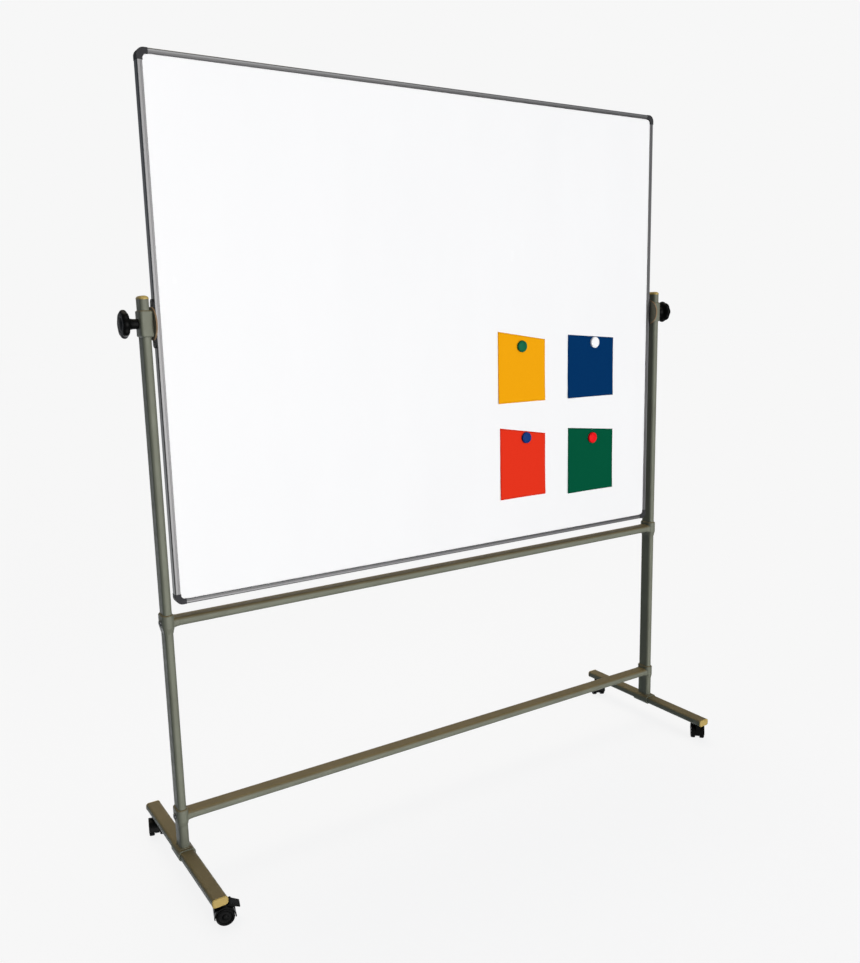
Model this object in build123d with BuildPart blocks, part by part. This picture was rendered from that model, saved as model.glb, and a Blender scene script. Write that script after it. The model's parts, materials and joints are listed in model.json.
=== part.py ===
"""A revolving whiteboard on a wheeled stand, in millimetres.

X runs along the board, Y through it (the front looks along -Y) and Z is up.
The origin is on the floor under the middle of the stand.
"""

import os
from math import cos, radians, sin

from build123d import *

# Board
BOARD_W = 1500.0
BOARD_H = 1200.0
BOARD_MID_Z = 1269.0
PIVOT_Z = 1305.0  # a little above the middle, so that the board hangs upright

# Board frame, a channel that grips the panel's edge
RAIL_T = 22.0
RAIL_DEPTH = 12.0
RAIL_WALL = 2.5
RAIL_ROUND = 3.0
RAIL_SOFT = 0.7
GROOVE_AT = 7.5  # from the board's edge, in both lips
GROOVE_W = 1.2
GROOVE_T = 0.8
CAP_ARM = 25.0
CAP_DEPTH = 13.0
CAP_PROUD = 0.4
CAP_OUTER_R = 17.0
CAP_INNER_R = 9.5
CAP_SOFT = 0.8

# Panel in the frame
CORE_T = 16.0
SHEET_T = 0.5
ENAMEL_T = 0.2
PANEL_INSET = 3.0
PANEL_R = 12.0
ENAMEL_INSET = 14.0

# Stand, all of flat tube with rounded corners
TUBE_A = 20.0
TUBE_B = 40.0
TUBE_R = 8.0
TUBE_WALL = 1.5
POST_X = 772.0
POST_TOP_Z = 1365.0
POST_CAP_T = 8.0
POST_CAP_DOME = 6.0
UPPER_BAR_Z = 632.0
LOWER_BAR_Z = 153.0
END_BLOCK = 30.0

# Tees that join the crossbars to the posts
TEE_WALL = 4.0
TEE_ABOVE = 17.0
TEE_BELOW = 10.0
TEE_TAPER = 14.0
TEE_THIN = 0.8
SOCKET_WALL = 1.3

# Feet
FOOT_L = 500.0
FOOT_W = 36.0
FOOT_T = 20.0
FOOT_R = 7.0
FOOT_TOP_Z = 72.0
FOOT_CAP_T = 4.0
FOOT_CAP_DOME = 3.0
SADDLE_L = 56.0
SADDLE_WALL = 3.0

# Plugs of the end caps
PLUG_L = 10.0

# Pivot of the board, outwards from the board's edge
PLATE_T = 3.0
PLATE_L = 106.0
PLATE_W = 20.0
RIVET_R = 2.25
RIVET_HEAD_R = 4.0
RIVET_HEAD_T = 1.5
RIVET_DOME = 1.2
RIVET_AT = 42.0
DISC_R = 36.0
DISC_T = 3.2
BRACKET_IN_X = 756.5
BRACKET_OUT_X = 784.5
BRACKET_D = 45.0
BRACKET_H = 57.0
BRACKET_R = 4.0
BRACKET_SOFT = 2.0
BUSH_R = 7.0
STUD_R = 5.0
STUD_END_X = 811.0
STUD_CHAMFER = 1.0
RUNNING = 0.05  # radial clearance of a shaft that turns
SLACK = 0.05  # radial clearance of a bolt in its hole

# Knobs
KNOB_GAP = 0.3
KNOB_HUB_R = 11.0
KNOB_FLARE = 8.0
KNOB_HEAD_X = 803.5
KNOB_END_X = 824.0
KNOB_R = 31.5
KNOB_SOFT = 6.0
KNOB_FLUTES = 8
KNOB_FLUTE_R = 10.0
KNOB_FLUTE_AT = 39.5
INSERT_R = 7.0
INSERT_END_X = 812.5

# Bolts
BOLT_R = 4.0
BOLT_HEAD_R = 7.0
BOLT_HEAD_T = 3.5
BOLT_DOME = 2.5
BOLT_KEY_R = 2.4
BOLT_KEY_T = 2.5
BOLT_REACH = 20.0
FOOT_BOLT_END_Z = 82.0
POST_FLOOR = 10.0
NUT_R = 7.0
NUT_T = 6.0

# Casters: twin wheels under a hood, behind a swivelling stem
STEM_Y = 225.0
STEM_R = 4.0
STEM_LOW_Z = 30.0
STEM_HIGH_Z = 66.0
STEM_BORE_Z = 28.0
BOSS_R = 8.5
BOSS_LOW_Z = 36.0
BOSS_HIGH_Z = 51.7
TRAIL = 15.0
WHEEL_R = 21.0
WHEEL_IN = 6.5
WHEEL_OUT = 20.0
WHEEL_ROUND = 2.0
WHEEL_DISH_R = 15.0
WHEEL_DISH_T = 1.6
HOOD_GAP = 0.8
HOOD_WALL = 2.5
HOOD_CUT_Z = 19.0
WEB_HALF = 5.7
WEB_HUB_R = 8.0
WEB_DISC_R = 16.0
WEB_DROP = 4.5
WEB_BITE = 1.0
AXLE_R = 2.5
AXLE_HALF = 19.0

# Brake pedal of the front casters
PEDAL_AT_R = 27.0
PEDAL_AT_DEG = 62.0
PEDAL_HALF = 12.0
PEDAL_HUB_R = 3.0
PEDAL_TIP = (47.0, 37.0)
PEDAL_TIP_R = 1.6
PEDAL_NOSE = 5.8
PEDAL_NOSE_R = 1.7
PEDAL_CAM_R = 2.5
PEDAL_PIN_R = 1.5
EAR_R = 3.4
EAR_GAP = 0.3
EAR_T = 2.5
EAR_FOOT_R = 1.0
EAR_FOOT_SINK = 0.4
EAR_SPREAD_DEG = 12.0
SLOT_FROM_DEG = 20.0
SLOT_TO_DEG = 78.0
SLOT_CLEAR = 9.0

# Paper notes: name, left x, right x, bottom z, top z at the left and at the right
NOTE_T = 0.4
NOTES = (
    ("yellow", 176.0, 341.0, 1066.0, 1262.0, 1237.0),
    ("blue", 426.0, 602.0, 1065.0, 1247.0, 1234.0),
    ("red", 181.0, 342.0, 796.0, 998.0, 972.0),
    ("green", 428.0, 604.0, 785.0, 979.0, 962.0),
)

# Round magnets: name, x, z
MAGNET_R = 16.0
MAGNET_T = 7.0
MAGNET_ROUND = 2.0
MAGNETS = (
    ("green", 258.0, 1220.0),
    ("white", 527.0, 1222.0),
    ("blue", 272.0, 965.0),
    ("red", 521.0, 943.0),
)

# What follows from the sizes above
HALF_W = BOARD_W / 2
HALF_H = BOARD_H / 2
FACE_Y = CORE_T / 2 + SHEET_T + ENAMEL_T
FOOT_MID_Z = FOOT_TOP_Z - FOOT_T / 2
FOOT_LOW_Z = FOOT_TOP_Z - FOOT_T
POST_BASE_Z = FOOT_TOP_Z + SADDLE_WALL
TEE_X = TUBE_A / 2 + TEE_WALL
BAR_HALF = POST_X - TEE_X
HOOD_IN_R = WHEEL_R + HOOD_GAP
HOOD_R = HOOD_IN_R + HOOD_WALL
AXLE_AT = (TRAIL, WHEEL_R)
PAST_THE_REST = 2 * FOOT_L  # longer than whatever is cut with it

SIDES = (("left", -1), ("right", 1))
# Casters: name, side in X, side in Y, direction the wheels trail in, with a brake or not
CASTERS = (
    ("front_left", -1, -1, -15.0, True),
    ("front_right", 1, -1, 45.0, True),
    ("rear_left", -1, 1, 255.0, False),
    ("rear_right", 1, 1, 240.0, False),
)

os.makedirs("parts", exist_ok=True)


def save(piece, name):
    piece.part.label = name
    export_step(piece.part, f"parts/{name}.step")


def facing_x(x, y=0.0, z=0.0):
    """A plane across X whose own x and y run along Y and Z."""
    return Plane(origin=(x, y, z), x_dir=(0, 1, 0), z_dir=(1, 0, 0))


def facing_front(y):
    """A plane across Y, seen from the front: its own x and y run along X and Z."""
    return Plane(origin=(0, y, 0), x_dir=(1, 0, 0), z_dir=(0, -1, 0))


def facing_up(x, y, z):
    return Plane(origin=(x, y, z), x_dir=(1, 0, 0), z_dir=(0, 0, 1))


# ---------------------------------------------------------------- stand


def make_post(side):
    """Upright tube, closed at its foot by a plate that takes the foot's bolt."""
    x = side * POST_X
    tube_top = POST_TOP_Z - POST_CAP_T
    with BuildPart() as post:
        with BuildSketch(facing_up(x, 0, POST_BASE_Z)):
            RectangleRounded(TUBE_A, TUBE_B, TUBE_R)
        extrude(amount=tube_top - POST_BASE_Z)
        with BuildSketch(facing_up(x, 0, POST_BASE_Z + POST_FLOOR)):
            RectangleRounded(TUBE_A - 2 * TUBE_WALL, TUBE_B - 2 * TUBE_WALL, TUBE_R - TUBE_WALL)
        extrude(amount=tube_top - POST_BASE_Z, mode=Mode.SUBTRACT)
        with BuildSketch(facing_up(x, 0, POST_BASE_Z)):
            Circle(BOLT_R + SLACK)
        extrude(amount=POST_FLOOR, mode=Mode.SUBTRACT)
        with BuildSketch(facing_x(x)):
            with Locations((0, PIVOT_Z)):
                Circle(BUSH_R)
            with Locations((0, UPPER_BAR_Z), (0, LOWER_BAR_Z)):
                Circle(BOLT_R + SLACK)
        extrude(amount=TUBE_A, both=True, mode=Mode.SUBTRACT)
    return post


def make_post_caps():
    """Plug with a domed top in the upper end of each post."""
    rim_z = POST_TOP_Z - POST_CAP_T
    with BuildPart() as caps:
        for _, side in SIDES:
            with BuildSketch(facing_up(side * POST_X, 0, rim_z)):
                RectangleRounded(TUBE_A, TUBE_B, TUBE_R)
            extrude(amount=POST_CAP_T)
        fillet(caps.faces().sort_by(Axis.Z)[-2:].edges(), POST_CAP_DOME)
        for _, side in SIDES:
            with BuildSketch(facing_up(side * POST_X, 0, rim_z - PLUG_L)):
                RectangleRounded(TUBE_A - 2 * TUBE_WALL, TUBE_B - 2 * TUBE_WALL, TUBE_R - TUBE_WALL)
            extrude(amount=PLUG_L)
    return caps


def make_crossbar(z):
    """Crossbar tube with a threaded block in each end."""
    hollow = BAR_HALF - END_BLOCK
    with BuildPart() as bar:
        with BuildSketch(facing_x(0, 0, z)):
            RectangleRounded(TUBE_B, TUBE_A, TUBE_R)
        extrude(amount=BAR_HALF, both=True)
        with BuildSketch(facing_x(0, 0, z)):
            RectangleRounded(TUBE_B - 2 * TUBE_WALL, TUBE_A - 2 * TUBE_WALL, TUBE_R - TUBE_WALL)
        extrude(amount=hollow, both=True, mode=Mode.SUBTRACT)
        with BuildSketch(facing_x(0, 0, z)):
            Circle(BOLT_R + SLACK)
        extrude(amount=BAR_HALF, both=True, mode=Mode.SUBTRACT)
    return bar


def add_tee(x, z):
    """Thick collar and its taper, added to the part being built."""
    with BuildSketch(facing_up(x, 0, z - TEE_BELOW - TEE_TAPER)) as thin_end:
        RectangleRounded(TUBE_A + 2 * TEE_THIN, TUBE_B + 2 * TEE_THIN, TUBE_R + TEE_THIN)
    with BuildSketch(facing_up(x, 0, z - TEE_BELOW)) as thick_end:
        RectangleRounded(TUBE_A + 2 * TEE_WALL, TUBE_B + 2 * TEE_WALL, TUBE_R + TEE_WALL)
    extrude(thick_end.sketch, amount=TEE_BELOW + TEE_ABOVE)
    loft(sections=[thin_end.sketch.face(), thick_end.sketch.face()])


def cut_post_way(x, low_z, high_z):
    """Room for the post, cut from the part being built."""
    with BuildSketch(facing_up(x, 0, low_z)) as way:
        RectangleRounded(TUBE_A, TUBE_B, TUBE_R)
    extrude(way.sketch, amount=high_z - low_z, mode=Mode.SUBTRACT)


def cut_bolt_way(x, z):
    """Room for a tee's bolt, cut from the part being built."""
    with BuildSketch(facing_x(x, 0, z)) as way:
        Circle(BOLT_R + SLACK)
    extrude(way.sketch, amount=2 * TEE_X, both=True, mode=Mode.SUBTRACT)


def make_upper_tee(side):
    """Collar that ties the upper crossbar to a post."""
    x = side * POST_X
    with BuildPart() as tee:
        add_tee(x, UPPER_BAR_Z)
        cut_post_way(x, UPPER_BAR_Z - 2 * TUBE_B, UPPER_BAR_Z + 2 * TUBE_B)
        cut_bolt_way(x, UPPER_BAR_Z)
    return tee


def make_foot_socket(side):
    """Socket that stands on the foot, holds the post and carries the lower crossbar."""
    x = side * POST_X
    with BuildPart() as socket:
        with BuildSketch(facing_up(x, 0, POST_BASE_Z)):
            RectangleRounded(TUBE_A + 2 * SOCKET_WALL, TUBE_B + 2 * SOCKET_WALL, TUBE_R + SOCKET_WALL)
        extrude(amount=LOWER_BAR_Z - POST_BASE_Z)
        add_tee(x, LOWER_BAR_Z)
        cut_post_way(x, 0, LOWER_BAR_Z + 2 * TUBE_B)
        cut_bolt_way(x, LOWER_BAR_Z)
    return socket


def across_foot(side, y=0.0, out=-1):
    """A plane across a foot, at its middle height: out is the way that it faces along Y."""
    return Plane(origin=(side * POST_X, y, FOOT_MID_Z), x_dir=(1, 0, 0), z_dir=(0, out, 0))


def make_foot(side):
    """Foot tube, along Y, with holes for the caster stems and the post's bolt."""
    x = side * POST_X
    half = FOOT_L / 2 - FOOT_CAP_T
    with BuildPart() as foot:
        with BuildSketch(across_foot(side)):
            RectangleRounded(FOOT_W, FOOT_T, FOOT_R)
            RectangleRounded(
                FOOT_W - 2 * TUBE_WALL, FOOT_T - 2 * TUBE_WALL, FOOT_R - TUBE_WALL, mode=Mode.SUBTRACT
            )
        extrude(amount=half, both=True)
        with BuildSketch(facing_up(x, 0, FOOT_MID_Z)):
            with Locations((0, STEM_Y), (0, -STEM_Y)):
                Circle(STEM_R + SLACK)
        extrude(amount=-FOOT_T, mode=Mode.SUBTRACT)
        with BuildSketch(facing_up(x, 0, FOOT_MID_Z)):
            Circle(BOLT_R + SLACK)
        extrude(amount=FOOT_T, both=True, mode=Mode.SUBTRACT)
    return foot


def make_foot_end_caps():
    """Plug with a rounded face in each end of the feet."""
    rim_y = FOOT_L / 2 - FOOT_CAP_T
    rims = [across_foot(side, end * rim_y, end) for _, side in SIDES for end in (-1, 1)]
    with BuildPart() as caps:
        for rim in rims:
            with BuildSketch(rim):
                RectangleRounded(FOOT_W, FOOT_T, FOOT_R)
            extrude(amount=FOOT_CAP_T)
        end_faces = caps.faces().sort_by(Axis.Y)
        fillet((end_faces[:2] + end_faces[-2:]).edges(), FOOT_CAP_DOME)
        for rim in rims:
            with BuildSketch(rim):
                RectangleRounded(FOOT_W - 2 * TUBE_WALL, FOOT_T - 2 * TUBE_WALL, FOOT_R - TUBE_WALL)
            extrude(amount=-PLUG_L)
    return caps


def make_foot_saddles():
    """Sleeve around the foot, under each post."""
    with BuildPart() as saddles:
        for _, side in SIDES:
            with BuildSketch(across_foot(side)):
                RectangleRounded(
                    FOOT_W + 2 * SADDLE_WALL, FOOT_T + 2 * SADDLE_WALL, FOOT_R + SADDLE_WALL
                )
                RectangleRounded(FOOT_W, FOOT_T, FOOT_R, mode=Mode.SUBTRACT)
            extrude(amount=SADDLE_L / 2, both=True)
            with BuildSketch(facing_up(side * POST_X, 0, FOOT_MID_Z)):
                Circle(BOLT_R + SLACK)
            extrude(amount=FOOT_T, both=True, mode=Mode.SUBTRACT)
    return saddles


def make_clamp_bracket(side):
    """Thick sleeve around the post that the knob and the friction disc bear on."""
    mid_x = side * (BRACKET_IN_X + BRACKET_OUT_X) / 2
    with BuildPart() as bracket:
        with BuildSketch(facing_up(mid_x, 0, PIVOT_Z - BRACKET_H / 2)):
            RectangleRounded(BRACKET_OUT_X - BRACKET_IN_X, BRACKET_D, BRACKET_R)
        extrude(amount=BRACKET_H)
        fillet(bracket.faces().filter_by(Axis.Z).edges(), BRACKET_SOFT)
        cut_post_way(side * POST_X, PIVOT_Z - BRACKET_H, PIVOT_Z + BRACKET_H)
        with BuildSketch(facing_x(mid_x, 0, PIVOT_Z)):
            Circle(BUSH_R)
        extrude(amount=BRACKET_D, both=True, mode=Mode.SUBTRACT)
    return bracket


def make_pivot_bushes():
    """Plastic bush through each bracket and post, in which the board's stud turns."""
    with BuildPart() as bushes:
        for _, side in SIDES:
            with BuildSketch(facing_x(side * BRACKET_IN_X, 0, PIVOT_Z)):
                Circle(BUSH_R)
                Circle(STUD_R + RUNNING, mode=Mode.SUBTRACT)
            extrude(amount=side * (BRACKET_OUT_X - BRACKET_IN_X))
    return bushes


def make_stand_bolts():
    """Button-head bolts through the tees, and hex bolts under the saddles."""
    head_x = POST_X + TEE_X
    low_z = FOOT_LOW_Z - SADDLE_WALL
    with BuildPart() as bolts:
        for _, side in SIDES:
            for z in (UPPER_BAR_Z, LOWER_BAR_Z):
                with BuildSketch(facing_x(side * head_x, 0, z)):
                    Circle(BOLT_HEAD_R)
                extrude(amount=side * BOLT_HEAD_T)
        outer = bolts.faces().filter_by(Axis.X).sort_by(Axis.X)
        fillet((outer[:2] + outer[-2:]).edges(), BOLT_DOME)
        for _, side in SIDES:
            for z in (UPPER_BAR_Z, LOWER_BAR_Z):
                with BuildSketch(facing_x(side * head_x, 0, z)):
                    Circle(BOLT_R)
                extrude(amount=-side * (2 * TEE_X + BOLT_REACH))
                with BuildSketch(facing_x(side * (head_x + BOLT_HEAD_T), 0, z)):
                    RegularPolygon(BOLT_KEY_R, 6)
                extrude(amount=-side * BOLT_KEY_T, mode=Mode.SUBTRACT)
        for _, side in SIDES:
            with BuildSketch(facing_up(side * POST_X, 0, low_z)):
                RegularPolygon(BOLT_HEAD_R, 6)
            extrude(amount=-BOLT_HEAD_T)
            with BuildSketch(facing_up(side * POST_X, 0, low_z)):
                Circle(BOLT_R)
            extrude(amount=FOOT_BOLT_END_Z - low_z)
    return bolts


def make_caster_stems():
    """Stem of each caster, held in the foot by a nut on the inside of its lower wall."""
    nut_z = FOOT_LOW_Z + TUBE_WALL
    with BuildPart() as stems:
        for _, side, end, _, _ in CASTERS:
            x = side * POST_X
            y = end * STEM_Y
            with BuildSketch(facing_up(x, y, STEM_LOW_Z)):
                Circle(STEM_R)
            extrude(amount=STEM_HIGH_Z - STEM_LOW_Z)
            with BuildSketch(facing_up(x, y, nut_z)):
                RegularPolygon(NUT_R, 6)
            extrude(amount=NUT_T)
    return stems


# ---------------------------------------------------------------- board


def make_board_core():
    """Stiff core of the panel."""
    with BuildPart() as core:
        with BuildSketch(facing_front(0)):
            with Locations((0, BOARD_MID_Z)):
                RectangleRounded(BOARD_W - 2 * PANEL_INSET, BOARD_H - 2 * PANEL_INSET, PANEL_R)
        extrude(amount=CORE_T / 2, both=True)
    return core


def make_sheet(front):
    """Enamelled steel skin: front is 1 for the front one and -1 for the rear one."""
    with BuildPart() as sheet:
        with BuildSketch(facing_front(-front * CORE_T / 2)):
            with Locations((0, BOARD_MID_Z)):
                RectangleRounded(BOARD_W - 2 * PANEL_INSET, BOARD_H - 2 * PANEL_INSET, PANEL_R)
        extrude(amount=front * SHEET_T)
        with BuildSketch(facing_front(-front * (CORE_T / 2 + SHEET_T))):
            with Locations((0, BOARD_MID_Z)):
                RectangleRounded(BOARD_W - 2 * ENAMEL_INSET, BOARD_H - 2 * ENAMEL_INSET, PANEL_R)
        extrude(amount=front * ENAMEL_T)
    return sheet


def rail_section(plane):
    """Channel section: the plane's x runs through the board, its y outwards from the board's edge."""
    with BuildSketch(plane) as section:
        Rectangle(RAIL_T, RAIL_DEPTH, align=(Align.CENTER, Align.MAX))
        with Locations((0, -PANEL_INSET)):
            Rectangle(
                CORE_T + 2 * SHEET_T, RAIL_DEPTH, align=(Align.CENTER, Align.MAX), mode=Mode.SUBTRACT
            )
        fillet(section.vertices().sort_by(Axis.Y)[-2:], RAIL_ROUND)
        fillet(section.vertices().sort_by(Axis.Y)[:4], RAIL_SOFT)
        with Locations((RAIL_T / 2, -GROOVE_AT), (-RAIL_T / 2, -GROOVE_AT)):
            Rectangle(2 * GROOVE_T, GROOVE_W, mode=Mode.SUBTRACT)
    return section.sketch


def make_level_rail(out):
    """Top or bottom rail: out is 1 for the top and -1 for the bottom."""
    edge = Plane(
        origin=(0, 0, BOARD_MID_Z + out * HALF_H), x_dir=(0, out, 0), z_dir=(1, 0, 0)
    )
    with BuildPart() as rail:
        extrude(rail_section(edge), amount=HALF_W - CAP_ARM, both=True)
    return rail


def make_upright_rail(side):
    """Left or right rail, with holes for the rivets of its pivot plate."""
    edge = Plane(
        origin=(side * HALF_W, 0, BOARD_MID_Z), x_dir=(0, -side, 0), z_dir=(0, 0, 1)
    )
    with BuildPart() as rail:
        extrude(rail_section(edge), amount=HALF_H - CAP_ARM, both=True)
        with BuildSketch(facing_x(side * HALF_W, 0, PIVOT_Z)):
            with Locations((0, RIVET_AT), (0, -RIVET_AT)):
                Circle(RIVET_R)
        extrude(amount=-side * PANEL_INSET, mode=Mode.SUBTRACT)
    return rail


def make_corner_cap(side, out):
    """Moulded corner that covers the ends of two rails: side is -1 or 1 in X, out in Z."""
    corner = (side * HALF_W, BOARD_MID_Z + out * HALF_H)
    inner = (corner[0] - side * CAP_DEPTH, corner[1] - out * CAP_DEPTH)
    with BuildPart() as cap:
        with BuildSketch(facing_front(0)) as outline:
            with Locations((corner[0] - side * CAP_ARM / 2, corner[1] - out * CAP_ARM / 2)):
                Rectangle(CAP_ARM, CAP_ARM)
            with Locations((inner[0] - side * CAP_ARM / 2, inner[1] - out * CAP_ARM / 2)):
                Rectangle(CAP_ARM, CAP_ARM, mode=Mode.SUBTRACT)
            fillet(outline.vertices().sort_by_distance((*corner, 0))[0], CAP_OUTER_R)
            fillet(outline.vertices().sort_by_distance((*inner, 0))[0], CAP_INNER_R)
        extrude(amount=RAIL_T / 2 + CAP_PROUD, both=True)
        fillet(cap.faces().filter_by(Axis.Y).edges(), CAP_SOFT)
        with BuildSketch(facing_front(0)):
            with Locations((0, BOARD_MID_Z)):
                RectangleRounded(BOARD_W - 2 * PANEL_INSET, BOARD_H - 2 * PANEL_INSET, PANEL_R)
        extrude(amount=CORE_T / 2 + SHEET_T, both=True, mode=Mode.SUBTRACT)
    return cap


def make_pivot_plate(side):
    """Plate on the board's edge that carries the stud."""
    with BuildPart() as plate:
        with BuildSketch(facing_x(side * HALF_W, 0, PIVOT_Z)):
            SlotOverall(PLATE_L, PLATE_W, rotation=90)
            Circle(STUD_R, mode=Mode.SUBTRACT)
            with Locations((0, RIVET_AT), (0, -RIVET_AT)):
                Circle(RIVET_R, mode=Mode.SUBTRACT)
        extrude(amount=side * PLATE_T)
    return plate


def make_plate_rivets():
    """Rivets through the pivot plates and the outer wall of the upright rails."""
    head_x = HALF_W + PLATE_T
    with BuildPart() as rivets:
        for _, side in SIDES:
            with BuildSketch(facing_x(side * head_x, 0, PIVOT_Z)):
                with Locations((0, RIVET_AT), (0, -RIVET_AT)):
                    Circle(RIVET_HEAD_R)
            extrude(amount=side * RIVET_HEAD_T)
        heads = rivets.faces().filter_by(Axis.X).sort_by(Axis.X)
        fillet((heads[:2] + heads[-2:]).edges(), RIVET_DOME)
        for _, side in SIDES:
            with BuildSketch(facing_x(side * head_x, 0, PIVOT_Z)):
                with Locations((0, RIVET_AT), (0, -RIVET_AT)):
                    Circle(RIVET_R)
            extrude(amount=-side * (PLATE_T + PANEL_INSET))
    return rivets


def make_pivot_studs():
    """Threaded studs on the pivot plates, on which the board turns."""
    with BuildPart() as studs:
        for _, side in SIDES:
            with BuildSketch(facing_x(side * HALF_W, 0, PIVOT_Z)):
                Circle(STUD_R)
            extrude(amount=side * (STUD_END_X - HALF_W))
        ends = studs.faces().filter_by(Axis.X).sort_by(Axis.X)
        chamfer((ends[:1] + ends[-1:]).edges(), STUD_CHAMFER)
    return studs


def make_friction_discs():
    """Disc between each pivot plate and its clamp bracket."""
    with BuildPart() as discs:
        for _, side in SIDES:
            with BuildSketch(facing_x(side * (HALF_W + PLATE_T), 0, PIVOT_Z)):
                Circle(DISC_R)
                Circle(STUD_R, mode=Mode.SUBTRACT)
            extrude(amount=side * DISC_T)
    return discs


def make_note(left_x, right_x, low_z, left_z, right_z):
    """Sheet of paper on the front face, cut a little out of square."""
    with BuildPart() as note:
        with BuildSketch(facing_front(-FACE_Y)):
            with BuildLine():
                Polyline(
                    (left_x, low_z), (right_x, low_z), (right_x, right_z), (left_x, left_z), close=True
                )
            make_face()
        extrude(amount=NOTE_T)
    return note


def make_magnet(x, z):
    """Round magnet that holds a note."""
    with BuildPart() as magnet:
        with BuildSketch(facing_front(-FACE_Y - NOTE_T)):
            with Locations((x, z)):
                Circle(MAGNET_R)
        extrude(amount=MAGNET_T)
        fillet(magnet.faces().sort_by(Axis.Y)[0].edges(), MAGNET_ROUND)
    return magnet


# ---------------------------------------------------------------- knobs


def make_knob(side):
    """Fluted knob whose long hub flares into the head, clear of the clamp bracket."""
    hub_x = BRACKET_OUT_X + KNOB_GAP
    with BuildPart() as knob:
        with BuildSketch(Plane(origin=(0, 0, PIVOT_Z), x_dir=(side, 0, 0), z_dir=(0, -side, 0))) as half:
            with Locations((hub_x, 0)):
                Rectangle(KNOB_HEAD_X - hub_x, KNOB_HUB_R, align=(Align.MIN, Align.MIN))
            with Locations((KNOB_HEAD_X, 0)):
                Rectangle(KNOB_END_X - KNOB_HEAD_X, KNOB_R, align=(Align.MIN, Align.MIN))
            fillet(half.vertices().sort_by_distance((KNOB_HEAD_X, KNOB_HUB_R, 0))[0], KNOB_FLARE)
            fillet(half.vertices().sort_by(Axis.Y)[-2:], KNOB_SOFT)
        revolve(axis=Axis((0, 0, PIVOT_Z), (1, 0, 0)))
        with BuildSketch(facing_x(side * KNOB_HEAD_X, 0, PIVOT_Z)):
            with PolarLocations(KNOB_FLUTE_AT, KNOB_FLUTES):
                Circle(KNOB_FLUTE_R)
        extrude(amount=side * (KNOB_END_X - KNOB_HEAD_X), mode=Mode.SUBTRACT)
        with BuildSketch(facing_x(side * hub_x, 0, PIVOT_Z)):
            Circle(INSERT_R)
        extrude(amount=side * (INSERT_END_X - hub_x), mode=Mode.SUBTRACT)
    return knob


def make_knob_insert(side):
    """Threaded insert moulded into a knob."""
    hub_x = BRACKET_OUT_X + KNOB_GAP
    with BuildPart() as insert:
        with BuildSketch(facing_x(side * hub_x, 0, PIVOT_Z)):
            Circle(INSERT_R)
            Circle(STUD_R + RUNNING, mode=Mode.SUBTRACT)
        extrude(amount=side * (INSERT_END_X - hub_x))
    return insert


# ---------------------------------------------------------------- casters


def beside_wheel(side, end, trail_deg):
    """A plane through a caster's stem: its x runs along the trail, its y is up."""
    c = cos(radians(trail_deg))
    s = sin(radians(trail_deg))
    return Plane(origin=(side * POST_X, end * STEM_Y, 0), x_dir=(c, s, 0), z_dir=(s, -c, 0))


def from_axle(r, deg):
    """A point at a distance and an angle from the axle, in the plane beside the wheel."""
    return (TRAIL + r * cos(radians(deg)), WHEEL_R + r * sin(radians(deg)))


def add_hood(plane):
    """Band over the wheels, open below."""
    with BuildSketch(plane) as band:
        with Locations(AXLE_AT):
            Circle(HOOD_R)
            Circle(HOOD_IN_R, mode=Mode.SUBTRACT)
        with Locations((TRAIL, HOOD_CUT_Z)):
            Rectangle(
                PAST_THE_REST, PAST_THE_REST, align=(Align.CENTER, Align.MAX), mode=Mode.SUBTRACT
            )
    extrude(band.sketch, amount=WHEEL_OUT, both=True)


def add_web(plane):
    """Middle wall of the housing, from the stem's boss to a disc round the axle."""
    with BuildSketch(plane) as web:
        with Locations(AXLE_AT):
            Circle(WEB_DISC_R)
        with BuildLine():
            Polyline(
                (-BOSS_R, STEM_BORE_Z - WEB_DROP),
                (-BOSS_R, BOSS_HIGH_Z - WEB_DROP),
                (BOSS_R, BOSS_HIGH_Z - WEB_DROP),
                from_axle(HOOD_IN_R + WEB_BITE, 70),
                from_axle(HOOD_IN_R + WEB_BITE, 40),
                from_axle(WEB_HUB_R, -20),
                from_axle(WEB_HUB_R, -110),
                close=True,
            )
        make_face()
    extrude(web.sketch, amount=WEB_HALF, both=True)


def cut_pedal_slot(plane):
    """Opening in the hood for the pedal's cam."""
    middle_deg = (SLOT_FROM_DEG + SLOT_TO_DEG) / 2
    with BuildSketch(plane) as slot:
        with BuildLine():
            Polyline(
                from_axle(HOOD_IN_R - WEB_BITE, SLOT_FROM_DEG),
                from_axle(HOOD_R + SLOT_CLEAR, SLOT_FROM_DEG),
                from_axle(HOOD_R + SLOT_CLEAR, middle_deg),
                from_axle(HOOD_R + SLOT_CLEAR, SLOT_TO_DEG),
                from_axle(HOOD_IN_R - WEB_BITE, SLOT_TO_DEG),
                from_axle(HOOD_IN_R, middle_deg),
                close=True,
            )
        make_face()
    extrude(slot.sketch, amount=PEDAL_HALF + EAR_GAP, both=True, mode=Mode.SUBTRACT)


def add_ears(plane):
    """Two ears on the hood that carry the pedal's pin."""
    for way in (-1, 1):
        with BuildSketch(plane.offset(way * (PEDAL_HALF + EAR_GAP))) as ear:
            with Locations(from_axle(PEDAL_AT_R, PEDAL_AT_DEG)):
                Circle(EAR_R)
            for lean in (-EAR_SPREAD_DEG, EAR_SPREAD_DEG):
                with Locations(from_axle(HOOD_R - EAR_FOOT_SINK, PEDAL_AT_DEG + lean)):
                    Circle(EAR_FOOT_R)
            make_hull()
        extrude(ear.sketch, amount=way * EAR_T)


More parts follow.
